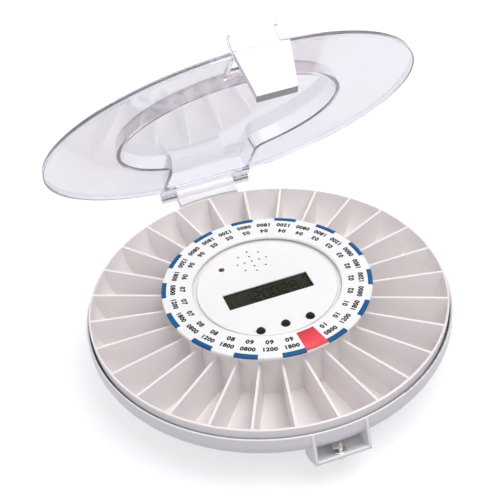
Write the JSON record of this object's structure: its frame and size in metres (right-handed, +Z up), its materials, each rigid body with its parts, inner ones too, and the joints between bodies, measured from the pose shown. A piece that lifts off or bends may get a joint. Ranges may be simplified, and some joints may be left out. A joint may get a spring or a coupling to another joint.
{
  "type": "automatic pill dispenser",
  "caption": "Round table-top pill dispenser: a motor-turned compartment tray round a fixed display, with buttons, a clear hinged lid and a front lock.",
  "frame": {"origin": "on the tray's axis, on the surface the dispenser stands on", "axes": "+Z up along the tray's axis, -Y towards the lock at the front, +Y towards the lid's hinge, +X to the right seen from the lock"},
  "size_m": [0.1928, 0.2044, 0.2059],
  "materials": {
    "white_shell": "gloss",
    "clear_lid": "clear gloss",
    "black_rubber": "matte",
    "black_key": "satin",
    "tray_white": "satin",
    "ring_print": "satin",
    "cover_white": "gloss",
    "inner_plastic": "matte",
    "gear_plastic": "satin",
    "steel": "brushed",
    "brass": "satin",
    "cell_can": "satin",
    "board": "satin",
    "lcd": "satin",
    "lcd_glass": "gloss",
    "led_red": "gloss"
  },
  "bodies": {
    "base": {"base_shell": "white_shell", "lock_housing": "white_shell", "foot_ring": "black_rubber", "hinge_pins": "steel", "battery_cells": "cell_can", "battery_contacts": "steel", "drive_motor": "steel", "motor_screws": "steel", "centre_housing": "inner_plastic", "housing_screws": "steel", "main_board": "board", "board_screws": "steel", "tact_switches": "black_key", "buzzer": "black_key", "status_led": "led_red", "lcd_module": "lcd", "lcd_window": "lcd_glass", "display_cover": "cover_white", "index_switch": "black_key", "lock_barrel": "steel"},
    "door": {"battery_door": "white_shell"},
    "tray": {"tray_bowl": "tray_white", "tray_dividers": "tray_white", "dose_ring": "ring_print", "drive_ring": "gear_plastic"},
    "pinion": {"motor_pinion": "brass", "motor_shaft": "steel"},
    "lid": {"lid_panel": "clear_lid", "lid_tongue": "white_shell", "lock_keeper": "steel"},
    "cam": {"lock_cam": "steel", "cam_screw": "steel"},
    "button_a": {"button_left": "black_key"},
    "button_b": {"button_middle": "black_key"},
    "button_c": {"button_right": "black_key"}
  },
  "joints": [
    {"name": "lid_hinge", "type": "hinge", "parent": "base", "child": "lid", "pos_m": [0, 0.1027, 0.044], "axis": [-1, 0, 0], "range_deg": [-51.9, 45]},
    {"name": "tray_spin", "type": "hinge", "parent": "base", "child": "tray", "pos_m": [0, 0, 0.0198], "axis": [0, 0, 1], "continuous": true},
    {"name": "pinion_spin", "type": "hinge", "parent": "base", "child": "pinion", "pos_m": [0.02369, 0.02369, 0.025], "axis": [0, 0, 1], "continuous": true},
    {"name": "lock_turn", "type": "hinge", "parent": "base", "child": "cam", "pos_m": [0, -0.0933, 0.0244], "axis": [0, 0, 1], "range_deg": [0, 90]},
    {"name": "door_turn", "type": "hinge", "parent": "base", "child": "door", "pos_m": [0, 0, 0.0045], "axis": [0, 0, 1], "range_deg": [0, 40]},
    {"name": "button_a_press", "type": "slide", "parent": "base", "child": "button_a", "axis": [0, 0, -1], "range_m": [0, 0.0008], "stiffness_N_per_m": 400},
    {"name": "button_b_press", "type": "slide", "parent": "base", "child": "button_b", "axis": [0, 0, -1], "range_m": [0, 0.0008], "stiffness_N_per_m": 400},
    {"name": "button_c_press", "type": "slide", "parent": "base", "child": "button_c", "axis": [0, 0, -1], "range_m": [0, 0.0008], "stiffness_N_per_m": 400}
  ],
  "couplings": [
    {"joint": "pinion_spin", "follows": "tray_spin", "ratio": 4.7222}
  ]
}
